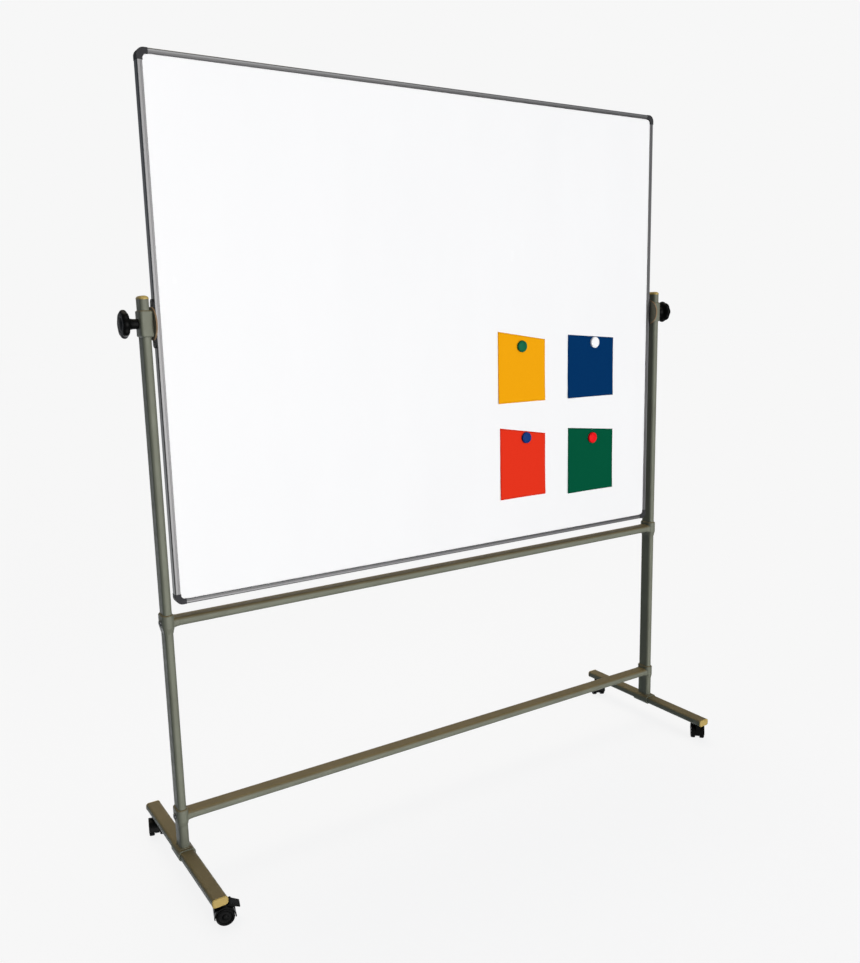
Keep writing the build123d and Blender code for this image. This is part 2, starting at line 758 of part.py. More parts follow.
def make_caster_housing(side, end, trail_deg, braked):
    """Swivelling hood and web of a caster, with a bore for its stem and one for its axle."""
    plane = beside_wheel(side, end, trail_deg)
    x = side * POST_X
    y = end * STEM_Y
    with BuildPart() as housing:
        add_hood(plane)
        with BuildSketch(facing_up(x, y, BOSS_LOW_Z)):
            Circle(BOSS_R)
        extrude(amount=BOSS_HIGH_Z - BOSS_LOW_Z)
        with BuildSketch(plane):
            with Locations(AXLE_AT):
                Circle(HOOD_IN_R)
        extrude(amount=2 * WHEEL_OUT, both=True, mode=Mode.SUBTRACT)
        add_web(plane)
        if braked:
            cut_pedal_slot(plane)
            add_ears(plane)
            with BuildSketch(plane):
                with Locations(from_axle(PEDAL_AT_R, PEDAL_AT_DEG)):
                    Circle(PEDAL_PIN_R + RUNNING)
            extrude(amount=WHEEL_OUT, both=True, mode=Mode.SUBTRACT)
        with BuildSketch(plane):
            with Locations(AXLE_AT):
                Circle(AXLE_R + RUNNING)
        extrude(amount=WHEEL_OUT, both=True, mode=Mode.SUBTRACT)
        with BuildSketch(facing_up(x, y, STEM_BORE_Z)):
            Circle(STEM_R + RUNNING)
        extrude(amount=BOSS_HIGH_Z - STEM_BORE_Z, mode=Mode.SUBTRACT)
    return housing


def make_caster_wheels(side, end, trail_deg):
    """Two dished wheels on one axle."""
    plane = beside_wheel(side, end, trail_deg)
    with BuildPart() as wheels:
        for way in (-1, 1):
            with BuildSketch(plane.offset(way * WHEEL_IN)):
                with Locations(AXLE_AT):
                    Circle(WHEEL_R)
            extrude(amount=way * (WHEEL_OUT - WHEEL_IN))
        fillet(wheels.edges().filter_by(GeomType.CIRCLE), WHEEL_ROUND)
        for way in (-1, 1):
            with BuildSketch(plane.offset(way * WHEEL_OUT)):
                with Locations(AXLE_AT):
                    Circle(WHEEL_DISH_R)
                    Circle(WEB_HUB_R / 2, mode=Mode.SUBTRACT)
            extrude(amount=-way * WHEEL_DISH_T, mode=Mode.SUBTRACT)
        with BuildSketch(plane):
            with Locations(AXLE_AT):
                Circle(AXLE_R)
        extrude(amount=WHEEL_OUT, both=True, mode=Mode.SUBTRACT)
    return wheels


def make_caster_axle(side, end, trail_deg):
    with BuildPart() as axle:
        with BuildSketch(beside_wheel(side, end, trail_deg)):
            with Locations(AXLE_AT):
                Circle(AXLE_R)
        extrude(amount=AXLE_HALF, both=True)
    return axle


def make_brake_pedal(side, end, trail_deg):
    """Lever with a cam that presses on both wheels, on a pin of its own."""
    plane = beside_wheel(side, end, trail_deg)
    pin = from_axle(PEDAL_AT_R, PEDAL_AT_DEG)
    nose = (pin[0] + PEDAL_NOSE, pin[1] - PEDAL_NOSE)
    with BuildPart() as pedal:
        with BuildSketch(plane):
            with Locations(pin):
                Circle(PEDAL_HUB_R)
            with Locations(PEDAL_TIP):
                Circle(PEDAL_TIP_R)
            make_hull()
        extrude(amount=PEDAL_HALF, both=True)
        with BuildSketch(plane):
            with Locations(pin):
                Circle(PEDAL_CAM_R)
            with Locations(nose):
                Circle(PEDAL_NOSE_R)
            make_hull()
        extrude(amount=PEDAL_HALF, both=True)
        with BuildSketch(plane):
            with Locations(pin):
                Circle(PEDAL_PIN_R)
        extrude(amount=PEDAL_HALF + EAR_GAP + EAR_T, both=True)
    return pedal


# ---------------------------------------------------------------- all the pieces

for name, side in SIDES:
    save(make_post(side), f"post_{name}")
    save(make_upper_tee(side), f"upper_tee_{name}")
    save(make_foot_socket(side), f"foot_socket_{name}")
    save(make_foot(side), f"foot_{name}")
    save(make_clamp_bracket(side), f"clamp_bracket_{name}")
    save(make_upright_rail(side), f"frame_rail_{name}")
    save(make_pivot_plate(side), f"pivot_plate_{name}")
    save(make_knob(side), f"knob_{name}")
    save(make_knob_insert(side), f"knob_insert_{name}")
    for level, out in (("top", 1), ("bottom", -1)):
        save(make_corner_cap(side, out), f"corner_cap_{level}_{name}")

save(make_crossbar(UPPER_BAR_Z), "upper_crossbar")
save(make_crossbar(LOWER_BAR_Z), "lower_crossbar")
save(make_level_rail(1), "frame_rail_top")
save(make_level_rail(-1), "frame_rail_bottom")
save(make_post_caps(), "post_caps")
save(make_foot_end_caps(), "foot_end_caps")
save(make_foot_saddles(), "foot_saddles")
save(make_pivot_bushes(), "pivot_bushes")
save(make_stand_bolts(), "stand_bolts")
save(make_caster_stems(), "caster_stems")
save(make_board_core(), "board_core")
save(make_sheet(1), "front_sheet")
save(make_sheet(-1), "rear_sheet")
save(make_plate_rivets(), "plate_rivets")
save(make_pivot_studs(), "pivot_studs")
save(make_friction_discs(), "friction_discs")

for name, *corners in NOTES:
    save(make_note(*corners), f"note_{name}")
for name, *centre in MAGNETS:
    save(make_magnet(*centre), f"magnet_{name}")

for name, side, end, trail_deg, braked in CASTERS:
    save(make_caster_housing(side, end, trail_deg, braked), f"caster_housing_{name}")
    save(make_caster_wheels(side, end, trail_deg), f"caster_wheels_{name}")
    save(make_caster_axle(side, end, trail_deg), f"caster_axle_{name}")
    if braked:
        save(make_brake_pedal(side, end, trail_deg), f"brake_pedal_{name}")
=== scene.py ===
"""The looks of a revolving whiteboard on a wheeled stand, built around its CAD model, in metres."""

import json
from math import cos, pi, radians, sin, sqrt

import bmesh
import bpy
from mathutils import Matrix, Vector


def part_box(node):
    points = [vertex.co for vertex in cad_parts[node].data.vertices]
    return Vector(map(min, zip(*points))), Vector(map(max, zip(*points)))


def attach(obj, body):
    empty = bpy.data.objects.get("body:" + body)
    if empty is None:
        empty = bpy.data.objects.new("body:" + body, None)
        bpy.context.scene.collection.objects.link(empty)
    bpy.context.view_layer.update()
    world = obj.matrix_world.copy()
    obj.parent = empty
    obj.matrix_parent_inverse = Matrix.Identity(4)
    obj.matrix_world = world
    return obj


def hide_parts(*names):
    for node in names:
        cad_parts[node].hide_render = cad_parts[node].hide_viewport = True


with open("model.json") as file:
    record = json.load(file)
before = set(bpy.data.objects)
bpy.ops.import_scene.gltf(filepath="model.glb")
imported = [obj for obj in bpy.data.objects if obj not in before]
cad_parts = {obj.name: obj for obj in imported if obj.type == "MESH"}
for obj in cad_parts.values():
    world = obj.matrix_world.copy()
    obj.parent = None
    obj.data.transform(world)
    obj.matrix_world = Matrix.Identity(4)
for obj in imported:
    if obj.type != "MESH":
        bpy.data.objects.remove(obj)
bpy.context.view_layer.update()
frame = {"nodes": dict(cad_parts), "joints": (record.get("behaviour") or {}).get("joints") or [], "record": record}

# ---------------------------------------------------------------- camera

CAMERA_AT = Vector((-1.3545, -2.0369, 1.3099))
CAMERA_YAW = radians(32.707)
CAMERA_PITCH = radians(-10.192)
CAMERA_ROLL = radians(1.267)
CAMERA_LENS = 34.55  # mm
CAMERA_SENSOR = 36.0  # mm
CAMERA_SIGHT = 100.0


def make_camera():
    data = bpy.data.cameras.new("camera")
    data.sensor_width = CAMERA_SENSOR
    data.lens = CAMERA_LENS
    data.clip_end = CAMERA_SIGHT
    camera = bpy.data.objects.new("camera", data)
    bpy.context.scene.collection.objects.link(camera)
    turn = (
        Matrix.Rotation(-CAMERA_YAW, 4, "Z")
        @ Matrix.Rotation(pi / 2 + CAMERA_PITCH, 4, "X")
        @ Matrix.Rotation(-CAMERA_ROLL, 4, "Z")
    )
    camera.matrix_world = Matrix.Translation(CAMERA_AT) @ turn
    bpy.context.scene.camera = camera


# ---------------------------------------------------------------- shader helpers

# Where a mix node keeps its factor, its two colours and its mixed colour
MIX_COLOR_INPUTS = (0, 6, 7)
MIX_COLOR_OUTPUT = 2


def computed(tree, node_type, operation, values):
    """The result of a math node whose inputs are other nodes' outputs or plain values."""
    node = tree.nodes.new(node_type)
    node.operation = operation
    for socket, value in zip(node.inputs, values):
        if isinstance(value, bpy.types.NodeSocket):
            tree.links.new(value, socket)
        else:
            socket.default_value = value
    number = node_type == "ShaderNodeMath" or operation in ("DOT_PRODUCT", "LENGTH")
    return node.outputs["Value" if number else "Vector"]


class Shader:
    """A material's node tree with short ways to add what it needs."""

    def __init__(self, name):
        self.name = name
        self.material = bpy.data.materials.new(name)
        self.material.use_nodes = True
        self.tree = self.material.node_tree
        self.nodes = self.tree.nodes
        self.links = self.tree.links
        self.surface = self.nodes["Principled BSDF"]
        self.place = self.nodes.new("ShaderNodeTexCoord").outputs["Object"]

    def set(self, **values):
        """Sets inputs of the surface, with an underscore for each space in their names."""
        for name, value in values.items():
            self.surface.inputs[name.replace("_", " ")].default_value = value

    def link(self, output, name):
        self.links.new(output, self.surface.inputs[name])

    def stretched(self, x, y, z):
        """The place, stretched: a small number makes long streaks along that axis."""
        node = self.nodes.new("ShaderNodeMapping")
        node.inputs["Scale"].default_value = (x, y, z)
        self.links.new(self.place, node.inputs["Vector"])
        return node.outputs["Vector"]

    def noise(self, scale, detail, place=None, rough=0.5):
        node = self.nodes.new("ShaderNodeTexNoise")
        node.inputs["Scale"].default_value = scale
        node.inputs["Detail"].default_value = detail
        node.inputs["Roughness"].default_value = rough
        self.links.new(place or self.place, node.inputs["Vector"])
        return node.outputs["Fac"]

    def ramp(self, factor, low, high, start=0.3, end=0.7):
        """A mix from one colour or number to another as the factor goes from start to end."""
        node = self.nodes.new("ShaderNodeValToRGB")
        node.color_ramp.elements[0].position = start
        node.color_ramp.elements[1].position = end
        for element, value in zip(node.color_ramp.elements, (low, high)):
            element.color = value if hasattr(value, "__len__") else (value, value, value, 1.0)
        self.links.new(factor, node.inputs["Fac"])
        return node.outputs["Color"]

    def mix(self, factor, low, high):
        """A mix of two colours that are themselves outputs of nodes."""
        node = self.nodes.new("ShaderNodeMix")
        node.data_type = "RGBA"
        for index, value in zip(MIX_COLOR_INPUTS, (factor, low, high)):
            self.links.new(value, node.inputs[index])
        return node.outputs[MIX_COLOR_OUTPUT]

    def math(self, operation, *values):
        return computed(self.tree, "ShaderNodeMath", operation, values)

    def vector_math(self, operation, *values):
        return computed(self.tree, "ShaderNodeVectorMath", operation, values)

    def bump(self, height, distance, strength):
        node = self.nodes.new("ShaderNodeBump")
        node.inputs["Strength"].default_value = strength
        node.inputs["Distance"].default_value = distance
        self.links.new(height, node.inputs["Height"])
        return node.outputs["Normal"]

    def coordinate(self, vector, axis):
        node = self.nodes.new("ShaderNodeSeparateXYZ")
        self.links.new(vector, node.inputs["Vector"])
        return node.outputs[axis]

    def upward(self):
        """How far the surface faces up, from 0 to 1."""
        return self.coordinate(self.nodes.new("ShaderNodeNewGeometry").outputs["Normal"], "Z")


def rgb(red, green, blue):
    """A display colour, 0 to 255, as the linear colour that nodes take."""

    def linear(value):
        value /= 255.0
        return value / 12.92 if value <= 0.04045 else ((value + 0.055) / 1.055) ** 2.4

    return (linear(red), linear(green), linear(blue), 1.0)


# ---------------------------------------------------------------- materials

STREAK_LONG, STREAK_FINE = 2.0, 900.0
RAIL_FACE = 0.012  # the strip of a rail over which the painted shade goes from dark to light


def stand_paint():
    """Olive-grey powder coat with the coat's fine orange peel, and painted light: browner where it faces up, for
    the warm light from above.
    """
    s = Shader("stand_paint")
    patches = s.noise(14.0, 3.0)
    upright = s.ramp(patches, rgb(112, 114, 100), rgb(120, 123, 108))
    # painted light: the level colour is warm light from above, painted browner onto the faces that look up
    level = s.ramp(patches, rgb(120, 108, 76), rgb(128, 114, 82))
    painted_top_light_mask = s.ramp(s.upward(), 0.0, 1.0, start=0.25, end=0.85)
    s.link(s.mix(painted_top_light_mask, upright, level), "Base Color")
    s.link(s.ramp(s.noise(60.0, 4.0), 0.4, 0.54), "Roughness")
    s.set(Metallic=0.05, Specular_IOR_Level=0.2)
    s.link(s.bump(s.noise(1400.0, 1.0), distance=0.00006, strength=0.4), "Normal")
    return s


def white_enamel():
    """Glossy white enamel with a faint wave and the haze that wiping leaves."""
    s = Shader("white_enamel")
    haze = s.noise(5.0, 5.0, s.stretched(1.0, 1.0, 0.35))
    s.link(s.ramp(haze, rgb(247, 247, 247), rgb(249, 249, 249)), "Base Color")
    s.link(s.ramp(haze, 0.16, 0.28), "Roughness")
    s.set(Coat_Weight=0.04, Coat_Roughness=0.1, Specular_IOR_Level=0.15)
    s.link(s.bump(s.noise(160.0, 2.0), distance=0.00003, strength=0.3), "Normal")
    return s


def aluminium(name, level, inner, outer):
    """Satin anodised rail, level or upright, with extrusion lines and a painted shade that darkens it towards the
    panel.
    """
    s = Shader(name)
    if level:
        streaks = s.stretched(STREAK_LONG, STREAK_FINE, STREAK_FINE)
        across = s.coordinate(s.place, "Z")
        first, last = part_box("frame_rail_bottom")[0].z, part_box("frame_rail_top")[1].z
    else:
        streaks = s.stretched(STREAK_FINE, STREAK_FINE, STREAK_LONG)
        across = s.coordinate(s.place, "X")
        first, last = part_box("frame_rail_left")[0].x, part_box("frame_rail_right")[1].x
    lines = s.noise(1.0, 3.0, streaks)
    # painted shade: from the outer edge of its face the rail darkens towards the panel, where it meets the enamel
    from_middle = s.math("ABSOLUTE", s.math("SUBTRACT", across, (first + last) / 2))
    over_rail = s.math("SUBTRACT", from_middle, (last - first) / 2 - RAIL_FACE)
    outward = s.ramp(s.math("DIVIDE", over_rail, RAIL_FACE), 0.0, 1.0, start=0.1, end=0.75)
    near = s.ramp(lines, rgb(inner, inner, inner), rgb(inner + 12, inner + 12, inner + 13))
    far = s.ramp(lines, rgb(outer, outer, outer), rgb(outer + 16, outer + 16, outer + 17))
    s.link(s.mix(outward, near, far), "Base Color")
    s.link(s.ramp(lines, 0.27, 0.4), "Roughness")
    s.set(Metallic=0.8, Anisotropic=0.4)
    s.link(s.bump(lines, distance=0.00004, strength=0.4), "Normal")
    return s


def moulded(name, dark, light, low_rough=0.42, high_rough=0.58, grain=1800.0):
    """Moulded plastic or black paint: a fine grain and a little change of gloss."""
    s = Shader(name)
    cloud = s.noise(90.0, 3.0)
    s.link(s.ramp(cloud, rgb(*dark), rgb(*light)), "Base Color")
    s.link(s.ramp(cloud, low_rough, high_rough), "Roughness")
    s.set(Specular_IOR_Level=0.1)
    s.link(s.bump(s.noise(grain, 2.0), distance=0.00006, strength=0.5), "Normal")
    return s


def magnet_paint(name, dark, light):
    """Glossier than the other plastics, with a coarser grain."""
    return moulded(name, dark, light, low_rough=0.3, high_rough=0.4, grain=500.0)


def metal(name, dark, light, low_rough=0.25, high_rough=0.45):
    """Bare or plated metal with a cloudy gloss."""
    s = Shader(name)
    cloud = s.noise(220.0, 4.0)
    s.link(s.ramp(cloud, rgb(*dark), rgb(*light)), "Base Color")
    s.link(s.ramp(cloud, low_rough, high_rough), "Roughness")
    s.set(Metallic=1.0)
    s.link(s.bump(s.noise(900.0, 2.0), distance=0.00004, strength=0.4), "Normal")
    return s


def friction_disc():
    """Pressed fibre disc: an olive face, and a lighter brown rim that is a painted warm highlight."""
    s = Shader("friction_disc")
    low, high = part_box("friction_discs")
    axle = (0.0, (low.y + high.y) / 2, (low.z + high.z) / 2)
    from_axle = s.vector_math("SUBTRACT", s.place, axle)
    radius = s.vector_math("LENGTH", s.vector_math("MULTIPLY", from_axle, (0.0, 1.0, 1.0)))
    outward = s.math("DIVIDE", radius, (high.z - low.z) / 2)
    fibres = s.noise(500.0, 5.0)
    face = s.ramp(fibres, rgb(108, 106, 90), rgb(120, 117, 100))
    # painted highlight: the lighter brown of the rim is warm light catching its edge
    edge = s.ramp(fibres, rgb(132, 108, 80), rgb(156, 130, 100))
    painted_rim_highlight = s.ramp(outward, 0.0, 1.0, start=0.95, end=0.98)
    s.link(s.mix(painted_rim_highlight, face, edge), "Base Color")
    s.set(Roughness=0.7, Specular_IOR_Level=0.2)
    s.link(s.bump(fibres, distance=0.00005, strength=0.4), "Normal")
    return s


def paper(name, dark, light):
    """Coloured paper or board with fibres."""
    s = Shader(name)
    fibres = s.noise(700.0, 6.0, s.stretched(1.0, 1.0, 0.5), rough=0.7)
    s.link(s.ramp(fibres, rgb(*dark), rgb(*light)), "Base Color")
    s.set(Roughness=0.85, Specular_IOR_Level=0.03)
    s.link(s.bump(fibres, distance=0.00006, strength=0.5), "Normal")
    return s


def make_materials():
    """Every material under the name of its slot in the record, and one for the upright rails."""
    made = [
        stand_paint(),
        white_enamel(),
        # the level rails get a deeper painted shade towards the panel than the upright ones
        aluminium("frame_aluminium", level=True, inner=62, outer=110),
        aluminium("frame_aluminium_upright", level=False, inner=94, outer=106),
        moulded("corner_plastic", (48, 48, 50), (60, 60, 62)),
        paper("panel_core", (150, 128, 98), (172, 150, 118)),
        moulded("pivot_black_steel", (30, 30, 31), (38, 38, 39), 0.3, 0.42),
        metal("zinc_steel", (98, 99, 98), (122, 123, 122), 0.35, 0.5),
        friction_disc(),
        metal("brass", (190, 152, 84), (212, 176, 104)),
        moulded("cap_plastic", (180, 156, 92), (194, 168, 102), 0.34, 0.46),
        moulded("bush_plastic", (214, 212, 206), (226, 224, 218)),
        moulded("black_plastic", (9, 9, 8), (15, 15, 14), 0.4, 0.55),
        moulded("caster_plastic", (9, 9, 8), (14, 14, 13), 0.36, 0.5),
        moulded("wheel_black", (10, 10, 10), (16, 16, 16), 0.45, 0.6),
        paper("paper_yellow", (240, 163, 10), (246, 171, 16)),
        paper("paper_blue", (0, 46, 94), (3, 53, 102)),
        paper("paper_red", (227, 48, 26), (233, 55, 31)),
        paper("paper_green", (0, 80, 53), (3, 88, 60)),
        magnet_paint("magnet_green", (0, 98, 65), (2, 104, 70)),
        magnet_paint("magnet_white", (249, 249, 249), (253, 253, 253)),
        magnet_paint("magnet_blue", (0, 50, 116), (2, 56, 126)),
        magnet_paint("magnet_red", (236, 10, 18), (242, 16, 24)),
    ]
    return {shader.name: shader.material for shader in made}


def finish_cad_nodes():
    """Gives each CAD node the material of its slot."""
    slots = {part["node"]: part["material_slot"] for part in frame["record"]["subparts"]}
    for name, node in frame["nodes"].items():
        upright_rail = name in ("frame_rail_left", "frame_rail_right")
        slot = "frame_aluminium_upright" if upright_rail else slots[name]
        node.data.materials.clear()
        node.data.materials.append(materials[slot])


# ---------------------------------------------------------------- floor and light

BACKDROP = rgb(247, 247, 247)
FLOOR_HALF = 40.0
FLOOR_GLOW = 0.92  # share of the floor's paleness that shadows don't dim
FLOOR_LIGHT = (0.585, 0.565, 0.51)  # what the lights send down, so that the floor can be neutral

# Soft lamps of the sky: the way to each, how narrow it is and its colour
LAMPS = (
    (Vector((0.12, -1.0, -0.05)), 8.0, (5.25, 5.15, 5.1)),
    (Vector((0.05, 0.35, 0.93)), 16.0, (3.7, 3.3, 2.6)),
    (Vector((0.35, 1.0, -0.6)), 5.0, (2.7, 2.7, 2.76)),
)
SKY = (0.07, 0.09, 0.11)  # what comes from everywhere between the lamps


def make_floor():
    """Plain pale floor, seamless with the backdrop, that takes a faint shadow."""
    mesh = bpy.data.meshes.new("floor")
    h = FLOOR_HALF
    mesh.from_pydata([(-h, -h, 0), (h, -h, 0), (h, h, 0), (-h, h, 0)], [], [(0, 1, 2, 3)])
    floor = bpy.data.objects.new("floor", mesh)
    bpy.context.scene.collection.objects.link(floor)
    s = Shader("floor")
    shade = (1.0 - FLOOR_GLOW) * BACKDROP[0]
    s.set(
        Base_Color=(*(shade / light for light in FLOOR_LIGHT), 1.0),
        Roughness=1.0,
        Specular_IOR_Level=0.0,
        Emission_Color=BACKDROP,
        Emission_Strength=FLOOR_GLOW,
    )
    mesh.materials.append(s.material)
    floor.visible_diffuse = False
    floor.visible_glossy = False


def make_sky():
    """Studio light from a few broad soft lamps; the camera sees a plain backdrop."""
    world = bpy.data.worlds.new("studio")
    bpy.context.scene.world = world
    world.use_nodes = True
    tree = world.node_tree
    nodes = tree.nodes
    links = tree.links
    nodes.clear()
    way = nodes.new("ShaderNodeTexCoord").outputs["Generated"]
    total = SKY
    for toward, narrowness, color in LAMPS:
        facing = computed(tree, "ShaderNodeVectorMath", "DOT_PRODUCT", (way, toward.normalized()))
        in_front = computed(tree, "ShaderNodeMath", "MAXIMUM", (facing, 0.0))
        strength = computed(tree, "ShaderNodeMath", "POWER", (in_front, narrowness))
        lamp = computed(tree, "ShaderNodeVectorMath", "MULTIPLY", (strength, color))
        total = computed(tree, "ShaderNodeVectorMath", "ADD", (lamp, total))
    studio = nodes.new("ShaderNodeBackground")
    links.new(total, studio.inputs["Color"])
    backdrop = nodes.new("ShaderNodeBackground")
    backdrop.inputs["Color"].default_value = BACKDROP
    choose = nodes.new("ShaderNodeMixShader")
    camera_sees = nodes.new("ShaderNodeLightPath").outputs["Is Camera Ray"]
    for socket, output in zip(choose.inputs, (camera_sees, studio.outputs[0], backdrop.outputs[0])):
        links.new(output, socket)
    out = nodes.new("ShaderNodeOutputWorld")
    links.new(choose.outputs[0], out.inputs["Surface"])
    bpy.context.scene.view_settings.view_transform = "Standard"


# ---------------------------------------------------------------- mesh helpers

MERGE = 1e-7
CORNER_STEPS = 8

# The planes that rings lie in, as their own x and y
LEVEL = (Vector((1, 0, 0)), Vector((0, 1, 0)))
ACROSS_X = (Vector((0, 1, 0)), Vector((0, 0, 1)))
ACROSS_Y = (Vector((1, 0, 0)), Vector((0, 0, 1)))

BEAD_AROUND = 10
BEAD_RIPPLE = 0.12
BEAD_WAVE = 2.4


def piece(name, mesh, body, slot, *nodes):
    """Makes an object of a mesh, in its place, riding on a body and standing for CAD nodes."""
    mesh.polygons.foreach_set("use_smooth", [True] * len(mesh.polygons))
    mesh.materials.append(materials[slot])
    obj = bpy.data.objects.new(name, mesh)
    bpy.context.scene.collection.objects.link(obj)
    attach(obj, body)
    if nodes:
        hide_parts(*nodes)
    return obj


def new_mesh(name, points, faces):
    """A mesh without double points whose faces look outwards."""
    mesh = bpy.data.meshes.new(name)
    mesh.from_pydata([tuple(p) for p in points], [], faces)
    bm = bmesh.new()
    bm.from_mesh(mesh)
    bmesh.ops.remove_doubles(bm, verts=bm.verts, dist=MERGE)
    bmesh.ops.recalc_face_normals(bm, faces=bm.faces)
    bm.to_mesh(mesh)
    bm.free()
    return mesh


def rounded(points, radius, steps=5):
    """An open outline of (along, out) points with every inner corner rounded."""
    done = [Vector(points[0])]
    for before, corner, after in zip(points, points[1:], points[2:]):
        before, corner, after = Vector(before), Vector(corner), Vector(after)
        reach = min(radius, (before - corner).length / 2, (after - corner).length / 2)
        start = corner + (before - corner).normalized() * reach
        end = corner + (after - corner).normalized() * reach
        for i in range(steps + 1):
            t = i / steps
            done.append(start * (1 - t) ** 2 + corner * 2 * t * (1 - t) + end * t**2)
    done.append(Vector(points[-1]))
    return done


def turned(name, outline, axis, at, around, shape=None):
    """Turns an outline of (along, out) about an axis; shape gives the radius at an angle."""
    axis = Vector(axis).normalized()
    up = Vector((0, 0, 1)) if abs(axis.z) < 0.9 else Vector((1, 0, 0))
    side = axis.cross(up).normalized()
    top = side.cross(axis)
    points = []
    for along, out in outline:
        for i in range(around):
            angle = 2 * pi * i / around
            r = shape(angle, out) if shape else out
            points.append(at + axis * along + side * r * cos(angle) + top * r * sin(angle))
    return new_mesh(name, points, skin(len(outline), around))


def skin(rows, around):
    """The faces between rows of points that each go round."""
    faces = []
    for row in range(rows - 1):
        low = row * around
        for i in range(around):
            j = (i + 1) % around
            faces.append((low + i, low + j, low + around + j, low + around + i))
    return faces


def ring_path(width, depth, radius):
    """Points of a rounded rectangle round the origin, in its own x and y."""
    points = []
    for corner, (x_side, y_side) in enumerate(((1, 1), (-1, 1), (-1, -1), (1, -1))):
        for i in range(CORNER_STEPS + 1):
            angle = pi / 2 * (corner + i / CORNER_STEPS)
            x = x_side * (width / 2 - radius) + radius * cos(angle)
            y = y_side * (depth / 2 - radius) + radius * sin(angle)
            points.append((x, y))
    return points


def ring(centre, plane, width, depth, radius):
    """A rounded rectangle round a centre, in one of the planes above."""
    x_way, y_way = plane
    return [centre + x_way * x + y_way * y for x, y in ring_path(width, depth, radius)]


def lofted(name, rings, closed=True):
    """A skin over rings with equally many points; closed ends get a flat face."""
    count = len(rings[0])
    faces = skin(len(rings), count)
    if closed:
        faces.append(tuple(range(count)))
        faces.append(tuple(range(len(rings) * count - count, len(rings) * count)))
    return new_mesh(name, [p for points in rings for p in points], faces)


def joined(name, meshes):
    """One mesh made of several, which are then dropped."""
    bm = bmesh.new()
    for mesh in meshes:
        bm.from_mesh(mesh)
        bpy.data.meshes.remove(mesh)
    whole = bpy.data.meshes.new(name)
    bm.to_mesh(whole)
    bm.free()
    return whole


def bead(name, centre, width, depth, radius, size):
    """A level, rippled weld bead round a tube."""
    outline = ring_path(width, depth, radius)
    x_way, y_way = LEVEL
    through = x_way.cross(y_way)
    count = len(outline)
    points = []
    for k, (x, y) in enumerate(outline):
        x0, y0 = outline[k - 1]
        x1, y1 = outline[(k + 1) % count]
        out = (x_way * (y1 - y0) - y_way * (x1 - x0)).normalized()
        thick = size * (1 + BEAD_RIPPLE * sin(BEAD_WAVE * k))
        middle = centre + x_way * x + y_way * y
        for i in range(BEAD_AROUND):
            angle = 2 * pi * i / BEAD_AROUND
            points.append(middle + out * thick * cos(angle) + through * thick * sin(angle))
    faces = []
    for k in range(count):
        a = k * BEAD_AROUND
        b = (k + 1) % count * BEAD_AROUND
        for i in range(BEAD_AROUND):
            j = (i + 1) % BEAD_AROUND
            faces.append((a + i, a + j, b + j, b + i))
    return new_mesh(name, points, faces)


# ---------------------------------------------------------------- knobs

KNOB_HEAD = 0.017
KNOB_BORE = 0.0072
KNOB_NECK = 0.011
KNOB_DOME = 0.0015
KNOB_CREASE = 0.0008
KNOB_SOFT = 0.004
KNOB_AROUND = 192
LOBES = 8
LOBE_DEPTH = 0.0021
LOBES_FROM = 0.016


def make_knobs():
    """Smooth lobed knob heads with a dished ring in the face and a flaring neck."""
    for side, sign in (("left", -1), ("right", 1)):
        node = f"knob_{side}"
        low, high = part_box(node)
        near = low.x if sign > 0 else high.x
        length = high.x - low.x
        radius = (high.z - low.z) / 2
        head = length - KNOB_HEAD
        outline = [
            (0.0, KNOB_BORE),
            (0.0, KNOB_NECK),
            (head - 0.009, KNOB_NECK),
            # the flare and the back of the head
            (head - 0.001, 0.0135),
            (head + 0.0005, radius - 0.0055),
            # the rim
            (head + 0.0045, radius - 0.0004),
            (length - 0.0065, radius),
            (length - 0.0015, radius - 0.0035),
            # the dished ring
            (length - KNOB_CREASE, 0.0175),
            (length - 2 * KNOB_CREASE, 0.0155),
            (length - KNOB_CREASE, 0.0135),
            # the middle
            (length + KNOB_DOME / 2, 0.006),
            (length + KNOB_DOME / 2, 0.0),
        ]

        def lobes(angle, out, radius=radius):
            """Eight soft lobes that fade towards the middle."""
            share = max(0.0, (out - LOBES_FROM) / (radius - LOBES_FROM))
            return out - LOBE_DEPTH * share**1.5 * (0.5 - 0.5 * cos(LOBES * angle)) ** 1.4

        at = Vector((near, (low.y + high.y) / 2, (low.z + high.z) / 2))
        name = f"{node}_moulding"
        mesh = turned(name, rounded(outline, KNOB_SOFT), (sign, 0, 0), at, KNOB_AROUND, lobes)
        piece(name, mesh, node, "black_plastic", node)


# ---------------------------------------------------------------- notes and magnets

PAPER_T = 0.00025
PAPER_ROWS = 28
FRONT_TOLERANCE = 1e-6
CURL_LOW = 0.0022
CURL_HIGH = 0.0006
COCKLE = 0.00012

MAGNET_SOFT = 0.0009
MAGNET_AROUND = 96


def note_corners(node):
    """Bottom left, bottom right, top right and top left of a note's front face."""
    points = [v.co for v in frame["nodes"][node].data.vertices]
    front = min(p.y for p in points)
    face = [p for p in points if p.y < front + FRONT_TOLERANCE]
    ways = ((-1, -1), (1, -1), (1, 1), (-1, 1))
    return [max(face, key=lambda p, w=w: 4 * w[0] * p.x + w[1] * p.z) for w in ways]


def paper_lift(u, v, index):
    """How far a note stands off the panel at a share of its width and of its height."""
    to_side = abs(2 * u - 1)
    lift = CURL_LOW * (1 - v) ** 3 * (0.35 + 0.65 * to_side**1.5)
    lift += CURL_HIGH * to_side**2 * v**2
    return lift + COCKLE * (1 + sin(9 * u + 5 * v + 2.1 * index)) * (1 - v)


